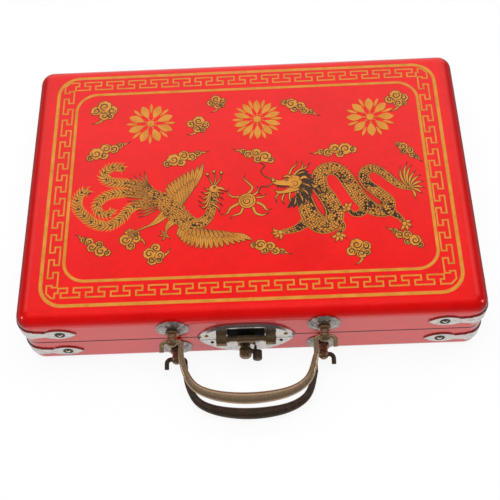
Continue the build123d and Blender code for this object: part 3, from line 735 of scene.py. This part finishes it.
def fan(prints, starts, tips, width, bow=0.0, blunt=0.75):
    """Feathers or hairs from one smooth line to another: each bows sideways by a share of its length, swells
    to its width past the middle and ends as blunt as asked."""
    for start, tip in zip(starts, tips):
        reach = tip - start
        side = np.array((-reach[1], reach[0])) * bow
        share = np.array([0, 0.3, 0.6, 0.85, 0.97, 1.0])
        swell = np.array([0.35, 0.75, 1.0, blunt, 0.5 * blunt, 0.05]) * width
        middle = start + share[:, None] * reach + (4 * share * (1 - share))[:, None] * side
        prints.stroke(np.concatenate([middle, swell[:, None]], 1), per=4)


def between(knots, count):
    """Evenly numbered points on a smooth curve through the knots."""
    dense = smooth(knots, 24)
    return dense[np.linspace(0, len(dense) - 1, count).astype(int)]


def spikes(prints, knots, pitch, tall, width=0.9, lean=0.7):
    """Small fins or barbs of one height: one every pitch along the left edge of a strip, leaning along it."""
    rows = smooth(knots, 16)
    run = lengths(rows[:, :2])
    ahead = np.gradient(rows[:, :2], axis=0)
    ahead /= np.linalg.norm(ahead, axis=1)[:, None]
    left = leftward(ahead)
    marks = np.arange(pitch, run[-1] - pitch, pitch)
    spot = np.clip(np.searchsorted(run, marks), 0, len(rows) - 1)
    foot = rows[spot, :2] + left[spot] * rows[spot, 2:3] * 0.88
    tip = foot + left[spot] * tall + ahead[spot] * tall * lean
    level = prints.height
    for near, far in zip(foot, tip):
        prints.height = level
        prints.line([(*near, width), (*(near * 0.4 + far * 0.6), 0.55 * width), (*far, 0.05)])


PLUMES = (
    ((-62, -9, 1.4), (-72, -3, 2.2), (-83, -0.5, 2.7), (-93, 1, 2.8), (-98, 6.5, 2.7), (-94, 12.5, 2.5),
     (-87, 13, 2.1), (-83.5, 10, 0.8)),
    ((-61, -19, 1.4), (-71, -17.5, 2.2), (-79, -21, 2.6), (-84, -28, 2.7), (-92, -33.5, 2.8),
     (-101, -32, 2.8), (-108, -26.5, 2.7), (-114, -19, 2.6), (-114.5, -10.5, 2.4), (-110, -5, 1.9),
     (-106.5, -8, 0.8)),
    ((-62, -14, 1.4), (-74, -9, 2.3), (-85, -8, 2.7), (-95, -10, 2.6), (-101, -16, 2.4), (-99.5, -23, 2.1),
     (-93, -25, 1.8), (-89.5, -20.5, 0.8)),
)


def phoenix():
    """A crested bird in flight: three curled tail plumes, two fanned wings, a scaled body and long legs."""
    fringe = Print()
    for knots in PLUMES:
        spikes(fringe, knots, 1.9, 2.1, 0.55, 1.3)
        spikes(fringe, knots[::-1], 1.9, 2.1, 0.55, -1.3)
    fringe.piece("phoenix_fringe", PLAIN)

    plumes = Print()
    plumes.height = fringe.height + OVER
    for knots in PLUMES:
        plumes.stroke(knots, scallop=2.6, rise=0.02)
    plumes.piece("phoenix_plumes", PLUME)

    vanes = Print()
    vanes.height = plumes.height + OVER
    rump = between([(-66, -3), (-60, -10), (-59, -21)], 15)
    trail = between([(-70, 9), (-80, 4), (-84, -4.5), (-82, -13), (-76, -21), (-73, -28)], 15)
    fan(vanes, rump, trail, 0.75, bow=0.05, blunt=0.5)
    legs = (
        ((-55, -26, 3.4), (-60, -31, 2.4), (-65, -34.5, 1.1), (-71, -37, 0.75), (-77, -40, 0.7)),
        ((-49, -31, 3.0), (-52.5, -35, 2.2), (-54, -38.5, 1.0), (-54, -42, 0.7)),
    )
    for leg in legs:
        vanes.stroke(leg)
        foot = np.array(leg[-1][:2])
        for toe in ((-4.5, 2.6), (-5.4, -0.8), (-3.2, -4.4), (2.6, -3.2)):
            tip = foot + toe
            vanes.stroke([(*foot, 0.7), (*(foot + np.array(toe) * (0.55, 0.75)), 0.75), (*tip, 0.1)])
    shoulder = between([(-47, -24), (-43, -19), (-38.5, -10)], 13)
    tips = between([(-58, -12), (-54, -2.5), (-47.5, 3), (-40.5, 7.5), (-30, 13.5)], 13)
    fan(vanes, shoulder, tips, 1.75, bow=-0.05)
    coverts = between([(-52, -14), (-47, -7), (-41, -2), (-36.5, 1)], 10)
    shoulder = between([(-46.5, -24), (-43, -19), (-39, -12)], 10)
    fan(vanes, shoulder, coverts, 1.5, bow=-0.05)
    elbow = between([(-43, -30), (-35, -37), (-24, -40), (-12, -43)], 17)
    tips = between([(-47, -43), (-42, -49.5), (-33, -53.5), (-22, -54), (-10, -51.5), (2, -48.5)], 17)
    fan(vanes, elbow, tips, 1.75, bow=0.06)
    coverts = between([(-46, -37.5), (-39, -43), (-30, -46), (-20, -46.5), (-10, -45.5)], 13)
    elbow = between([(-43, -29), (-36, -35.5), (-26, -39), (-15, -41.5)], 13)
    fan(vanes, elbow, coverts, 1.4, bow=0.05)
    vanes.piece("phoenix_feathers", FEATHER)

    body = Print()
    body.height = vanes.height + OVER
    trunk = ((-69, -5, 1.2), (-62, -11, 4.0), (-55, -18, 6.0), (-48, -25.5, 6.6), (-41, -32, 5.4),
             (-34, -35, 4.3), (-28, -32, 3.6), (-24.5, -25, 3.1), (-23.5, -17, 2.7), (-23, -10, 2.8))
    body.stroke(trunk, scallop=2.0)
    body.piece("phoenix_body", SCALES_FINE)

    head = Print()
    ink = Print()
    head.height = body.height + OVER
    for hair, (x, y) in enumerate(((-33, -20), (-33.5, -16.5), (-33, -13), (-31.5, -9.5), (-29.5, -6.5))):
        head.stroke([(-24.5, -13 + hair, 0.9), ((x - 24.5) / 2, y - 2.4 + 0.2 * hair, 0.8), (x, y, 0.05)])
    for x, y in ((-19, -27), (-16.5, -22), (-16, -17)):
        head.stroke([(-23, y + 7, 0.8), (-19.5, y + 4, 0.7), (x, y, 0.05)])
    for x, y, lean in ((-27, 3.5, -2), (-22.5, 5.5, -1), (-17.5, 4.5, 1)):
        head.stroke([(-22.5, -6, 0.8), (x - lean, (y - 6) / 2, 0.6), (x, y, 0.4)])
        head.disc((x, y + 0.6), 1.25, bumps=5, sides=20)
    head.disc((-22.4, -7.8), 3.3, stretch=1.12, turn=-14)
    head.stroke([(-20.5, -9.6, 0.9), (-17.6, -10.9, 0.6), (-15.8, -12.2, 0.05)])
    head.stroke([(-20.6, -7.2, 1.5), (-17, -8.0, 1.1), (-13.8, -10.6, 0.05)])
    head.stroke([(-20.5, -11, 0.7), (-19.6, -13.2, 0.9), (-19.8, -15.4, 0.4)])
    eye(head, ink, (-22.2, -6.9), 1.0)
    head.piece("phoenix_head", INKED)
    ink.piece("phoenix_eye", DARK_INK)


DRAGON_SPINE = (
    (34, -6, 3.6), (36.5, -13, 4.6), (38.5, -22, 5.6), (41.5, -32, 6.4), (47.5, -39, 6.6), (54.5, -38, 6.2),
    (57.5, -29.5, 5.9), (54, -19, 5.6), (49, -9, 5.3), (49.5, 0.5, 5.1), (56, 5, 5.0), (63.5, 1.5, 5.0),
    (69, -8.5, 5.0), (75, -20, 5.0), (82.5, -28.5, 4.9), (91, -30, 4.5), (93.5, -23, 4.1), (87.5, -15.5, 3.9),
    (80.5, -8.5, 3.7), (78.8, -1, 3.5), (83.5, 3.6, 3.2), (90.5, 0.5, 3.0), (97, -6.5, 2.6),
    (103.5, -12, 2.1), (110, -13.5, 1.3),
)
DRAGON_LEGS = (
    (((41, -33, 4.4), (34.5, -39.5, 3.2), (27.5, -42.5, 2.3), (21, -43.5, 1.7)),
     ((-5, 4.2), (-6.4, 0.6), (-5.4, -3.4), (-1.6, -6))),
    (((53, -32, 4.4), (59, -36.5, 3.2), (61.5, -41.5, 2.2), (58.5, -46.5, 1.6)),
     ((-5.6, -1.6), (-3.4, -5.6), (1.2, -6.6), (5.0, -4.2))),
    (((80, -25, 4.0), (74.5, -31, 2.9), (69.5, -31.5, 2.0), (66.5, -27.5, 1.5)),
     ((-5.2, -0.6), (-4.2, 3.6), (-0.4, 5.6), (3.8, 4.2))),
    (((90, -28, 4.2), (96, -32.5, 2.8), (100, -36.5, 1.9), (102, -40.5, 1.4)),
     ((5.4, 1.2), (4.6, -3.6), (0.6, -6.2), (-4.2, -4.6))),
)


def dragon():
    """A long four-legged dragon in loops, with back fins, claws, horns, mane, whiskers and a flame tail."""
    fins = Print()
    spikes(fins, DRAGON_SPINE, 2.3, 1.9)
    flames = between([(104, 5), (110.5, 8.5), (113, 2), (117, -3), (118.5, -10), (117.5, -17), (111, -22)], 9)
    roots = np.tile((108.5, -13.2), (9, 1))
    fan(fins, roots, flames, 1.15, bow=0.14, blunt=0.45)
    fins.piece("dragon_fins", INKED)

    hide = Print()
    hide.height = fins.height + OVER
    for leg in DRAGON_LEGS:
        hide.stroke(leg[0])
    hide.stroke(DRAGON_SPINE, rise=0.06)
    hide.piece("dragon_hide", SCALES)

    claws = Print()
    claws.height = fins.height + OVER
    for knots, toes in DRAGON_LEGS:
        foot = np.array(knots[-1][:2])
        for toe in toes:
            toe = np.array(toe)
            side = np.array((-toe[1], toe[0])) * 0.18
            knuckle, nail = foot + toe * 0.5 + side, foot + toe * 0.72 + side
            claws.stroke([(*foot, 1.2), (*knuckle, 1.25), (*nail, 0.8), (*(foot + toe), 0.05)])
        claws.disc(foot, 1.7, bumps=4, sides=20)
    claws.piece("dragon_claws", INKED)

    mane = Print()
    mane.height = hide.height + MANE_OVER
    roots = between([(33, 0), (35.5, -6), (34, -13), (30, -17)], 12)
    ends = between([(42, 3), (45.5, -5), (44, -13), (41, -20), (34, -25), (26, -25)], 12)
    fan(mane, roots, ends, 1.5, bow=0.16, blunt=0.5)
    mane.piece("dragon_mane", DARK_INK)

    head = Print()
    ink = Print()
    head.height = mane.height + OVER
    fan(head, roots[::2], (0.85 * ends + 0.15 * roots)[::2], 0.85, bow=0.16, blunt=0.5)
    for knots in (
        ((31, 0, 1.0), (35, 4.5, 1.0), (40, 6.5, 0.7), (43.5, 11, 0.05)),
        ((37, 5.5, 0.8), (38, 9, 0.6), (37, 12.5, 0.05)),
        ((28.5, 1.5, 1.0), (30.5, 6, 0.9), (33.5, 9, 0.6), (34, 13, 0.05)),
        ((17.5, -1.5, 0.6), (12.5, 0.5, 0.5), (9.5, 5, 0.4), (12, 9.5, 0.4), (8.5, 12, 0.05)),
        ((18, -4.5, 0.6), (14, -7.5, 0.5), (9.5, -7.5, 0.4), (7.5, -12, 0.4), (10.5, -15.5, 0.05)),
        ((22, -12.5, 0.9), (19, -16.5, 0.7), (19.5, -21, 0.05)),
        ((25, -13, 1.0), (23, -18, 0.8), (24.5, -23, 0.05)),
        ((28.5, -12.5, 1.0), (28, -18, 0.8), (30, -22.5, 0.05)),
    ):
        head.stroke(knots)
    head.stroke([(34, -9, 2.8), (29.5, -10.8, 2.3), (24.5, -12.4, 1.6), (20.5, -12.6, 1.2),
                 (18.2, -10.4, 0.3)])
    for x in (20.6, 22.8, 25.0):
        head.stroke([(x, -7.4, 0.6), (x - 0.1, -8.8, 0.35), (x - 0.3, -9.8, 0.03)])
    head.disc((31.4, -4.6), 5.2, bumps=6, depth=0.10, turn=20)
    head.stroke([(33, -5.2, 3.8), (28, -4.8, 3.3), (23.5, -5.2, 2.4), (19.6, -4.6, 2.1), (17.4, -2.6, 1.5),
                 (17.6, -0.6, 0.4)])
    head.disc((17.9, -3.0), 1.5, bumps=3, sides=18)
    head.stroke([(30.5, -1.6, 0.9), (27, 0.2, 1.1), (23.6, -1.2, 0.3)])
    head.stroke([(35, -3, 0.6), (38.5, -1.2, 1.4), (41.5, -2.6, 0.1)])
    eye(head, ink, (26.6, -2.9), 1.35)
    ink.curl((18.2, -3.2), 0.95, 1.0, 200, 1, 0.22)
    ink.curl((32.0, -6.4), 2.6, 1.3, 160, -1, 0.26)
    ink.stroke([(19.5, -7.4, 0.25), (23.5, -8.2, 0.35), (28.5, -8.0, 0.25), (31, -9, 0.1)])
    head.piece("dragon_head", INKED)
    ink.piece("dragon_lines", DARK_INK)


def pearl():
    """A pearl wrapped in flames: a disc with a spiral, and curled flames round it."""
    middle = (-0.4, -18.2)
    fire = Print()
    for flame in (
        ((0.5, -12.5, 1.3), (3.4, -8.2, 1.0), (0.8, -4.2, 0.9), (-2.2, -0.6, 0.6), (-0.8, 3.4, 0.05)),
        ((4.0, -14.0, 1.0), (7.4, -10.4, 0.8), (6.4, -6.4, 0.05)),
        ((-5.0, -15.0, 1.0), (-9.8, -14.6, 0.9), (-13.2, -11.6, 0.6), (-12.4, -7.2, 0.05)),
        ((-6.0, -20.0, 1.2), (-11.4, -23.4, 1.2), (-14.0, -27.6, 0.8), (-18.4, -28.0, 0.05)),
        ((-3.2, -23.6, 1.1), (-5.2, -27.8, 1.0), (-9.6, -29.4, 0.7), (-12.2, -32.4, 0.05)),
        ((3.4, -23.4, 1.2), (5.2, -28.0, 1.2), (9.8, -29.8, 0.9), (14.8, -27.8, 0.05)),
        ((6.2, -19.6, 1.2), (10.4, -22.6, 1.2), (12.6, -26.0, 0.8), (16.6, -25.0, 0.05)),
        ((6.0, -16.0, 0.9), (10.6, -15.4, 0.8), (12.6, -12.4, 0.05)),
    ):
        fire.stroke(flame)
    fire.disc(middle, 6.1)
    fire.disc(middle, 4.3, bumps=6, depth=0.08)
    fire.piece("pearl_and_flames", INKED)
    ink = Print()
    ink.height = fire.height + INK_OVER
    ink.curl(middle, 3.4, 1.7, 30, 1, 0.34)
    ink.piece("pearl_curl", DARK_INK)


PLAIN = plain_gold()
INKED = inked_gold()
FEATHER = feather_gold()
PLUME = plume_gold()
SCALES = scale_gold("scale_gold", 0.62, 0.075, 0.13)
SCALES_FINE = scale_gold("fine_scale_gold", 0.66, 0.060, 0.03)
DARK_INK = print_ink()
border()
rosettes()
clouds()
phoenix()
pearl()
dragon()


# ------------------------------------------------------------------ rings round the bracket nails, dark as painted shade
NAIL_IN = 0.027             # nail from the case corner
# The ring's closed profile: millimetres from the nail's axis, millimetres out from the strap.
RING = np.array([(1.75, -0.05), (1.75, 0.10), (2.05, 0.34), (2.60, 0.44), (3.10, 0.30), (3.45, 0.10),
                 (3.45, -0.05)])


def nail_shade_rings(half, body):
    """A pressed ring round each bracket nail, dark as painted shade of the hollow round the nail: the profile
    is turned round the nail's axis by the cosine and sine of an angle."""
    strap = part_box(f"{half}_bracket_front_left")
    height = (strap[0].z + strap[1].z) / 2
    face_x, face_y = -strap[0].x, -strap[0].y
    spots = []
    for sx in (-1, 1):
        for sy in (-1, 1):
            spots.append(((sx * (SIDE_X - NAIL_IN), sy * face_y, height), (sx, 0, 0), (0, sy, 0)))
            spots.append(((sx * face_x, sy * (BACK_Y - NAIL_IN), height), (0, sy, 0), (sx, 0, 0)))
    count, sides = len(RING), 32
    angle = np.arange(sides) * TURN / sides
    here, beside = np.arange(sides)[:, None] * count, (np.arange(sides)[:, None] + 1) % sides * count
    edge, after = np.arange(count), (np.arange(count) + 1) % count
    quads = np.stack([here + edge, beside + edge, beside + after, here + after], 2).reshape(-1, 4)
    points, faces = [], []
    for at, along, out in spots:
        along, out, up = np.array(along, float), np.array(out, float), np.array((0.0, 0.0, 1.0))
        round_nail = np.cos(angle)[:, None] * along + np.sin(angle)[:, None] * up
        ring = RING[:, 0, None] * round_nail[:, None, :] + RING[:, 1, None] * out
        turned = np.dot(np.cross(along, up), out) < 0
        faces += (quads[:, ::-1 if turned else 1] + len(points) * sides * count).tolist()
        points.append(np.array(at) + ring.reshape(-1, 3) * MM)
    mesh = bpy.data.meshes.new(f"{half}_bracket_shade_rings")
    mesh.from_pydata(np.concatenate(points), [], faces)
    # Painted shade: the ring is dark bronze so that it reads as the shaded hollow round the nail.
    mesh.materials.append(FINISHES["dark_bronze"])
    mesh.update()
    made = add_object(mesh.name, mesh)
    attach(made, body)


nail_shade_rings("base", "base")
nail_shade_rings("lid", "lid")


# ------------------------------------------------------------------ light, floor and camera
FOCAL_PX, PICTURE_PX, SENSOR_MM = 927.74, 500.0, 36.0
CAMERA_AT = (0.01532, -0.34935, 0.58092)
CAMERA_TILT, CAMERA_SPIN, CAMERA_ROLL = 29.283, 2.850, -4.672


def photo_camera():
    """The photograph's own viewpoint: spin about Z after a tilt about X, with a small roll."""
    data = bpy.data.cameras.new("photo_camera")
    data.sensor_width = SENSOR_MM
    data.lens = FOCAL_PX * SENSOR_MM / PICTURE_PX
    data.clip_start = 0.01
    camera = add_object("photo_camera", data)
    spin = Matrix.Rotation(np.radians(CAMERA_SPIN), 4, "Z")
    tilt = Matrix.Rotation(np.radians(CAMERA_TILT), 4, "X")
    roll = Matrix.Rotation(np.radians(CAMERA_ROLL), 4, "Z")
    camera.matrix_world = Matrix.Translation(Vector(CAMERA_AT)) @ spin @ tilt @ roll
    bpy.context.scene.camera = camera


def floor():
    """A wide white floor that keeps the case's soft shadow. Gloss sees it white only in front of the case
    and behind it."""
    half = 2.5
    mesh = bpy.data.meshes.new("floor")
    corners = [(-half, -half, 0), (half, -half, 0), (half, half, 0), (-half, half, 0)]
    mesh.from_pydata(corners, [], [(0, 1, 2, 3)])
    board = add_object("floor", mesh)
    made = Finish("white_floor")
    camera, gloss, through = [made.node("ShaderNodeLightPath", None, None, out) for out in (0, 3, 6)]
    seen = camera.most(gloss).most(through)
    x, y = made.place().parts()[:2]
    beneath = y.step(-0.10, -0.06) * (1 - y.step(0.09, 0.13))
    aside = abs(x).step(0.160, 0.22).most(beneath)
    ended = gloss * aside.most((0.0 - y).step(0.165, 0.26))
    white_seen = gloss.ramp((0.0, (1.0, 1.0, 1.0)), (1.0, (0.72, 0.72, 0.72)))
    lit = made.node("ShaderNodeBsdfDiffuse", None, {"Color": (0.90, 0.90, 0.90, 1)})
    white = made.node("ShaderNodeEmission", None, {"Color": white_seen, "Strength": 1.0})
    dark = made.node("ShaderNodeEmission", None, {"Color": (0.14, 0.14, 0.14, 1), "Strength": 1.0})
    mixed = made.node("ShaderNodeMixShader", None, {0: 0.90 * seen, 1: lit, 2: white})
    mixed = made.node("ShaderNodeMixShader", None, {0: ended, 1: mixed, 2: dark})
    made.node("ShaderNodeOutputMaterial", None, {"Surface": mixed})
    mesh.materials.append(made.material)


def soft_box(name, place, width, height, power, mirrored=True):
    """A soft rectangular lamp aimed at the case. One that isn't mirrored lights it without showing in it."""
    data = bpy.data.lights.new(name, "AREA")
    data.shape = "RECTANGLE"
    data.size = width
    data.size_y = height
    data.energy = power
    lamp = add_object(name, data)
    lamp.location = place
    lamp.rotation_euler = (-Vector(place)).to_track_quat("-Z", "Y").to_euler()
    lamp.visible_glossy = mirrored


def studio():
    """A dim room with a pale wall behind the case, up to a height, and a grey band round the horizon, so
    that the lid mirrors the wall, its rolled edges mirror the dark, and upright metal mirrors the floor. The
    camera sees white."""
    world = bpy.data.worlds.new("studio")
    bpy.context.scene.world = world
    world.use_nodes = True
    tree = world.node_tree
    tree.nodes.clear()
    way = add_node(tree, "ShaderNodeTexCoord", None, None, 0)
    x, y, z = way.parts()
    wall = y.step(0.15, 0.40) * (1 - z.step(0.78, 0.92)) * (1 - abs(x).step(0.45, 0.80))
    horizon = 0.25 * (1 - z.step(0.05, 0.25)) * y.step(-0.6, -0.1)
    shade = wall.most(horizon).ramp((0.0, (0.04, 0.04, 0.04)), (1.0, (0.60, 0.60, 0.60)))
    camera = add_node(tree, "ShaderNodeLightPath", None, None, 0)
    white = {0: camera, 6: shade, 7: (1.0, 1.0, 1.0)}
    shade = add_node(tree, "ShaderNodeMix", {"data_type": "RGBA"}, white, 2)
    lit = add_node(tree, "ShaderNodeBackground", None, {"Color": shade, "Strength": 1.0})
    add_node(tree, "ShaderNodeOutputWorld", None, {"Surface": lit})
    soft_box("top_box", (0.0, -0.05, 1.35), 1.4, 1.1, 22.3, mirrored=False)
    soft_box("left_box", (-1.10, -0.35, 0.40), 0.16, 0.16, 0.7)
    soft_box("right_box", (1.10, -0.35, 0.40), 0.16, 0.16, 0.7)
    bpy.context.scene.view_settings.view_transform = "Standard"


photo_camera()
floor()
studio()
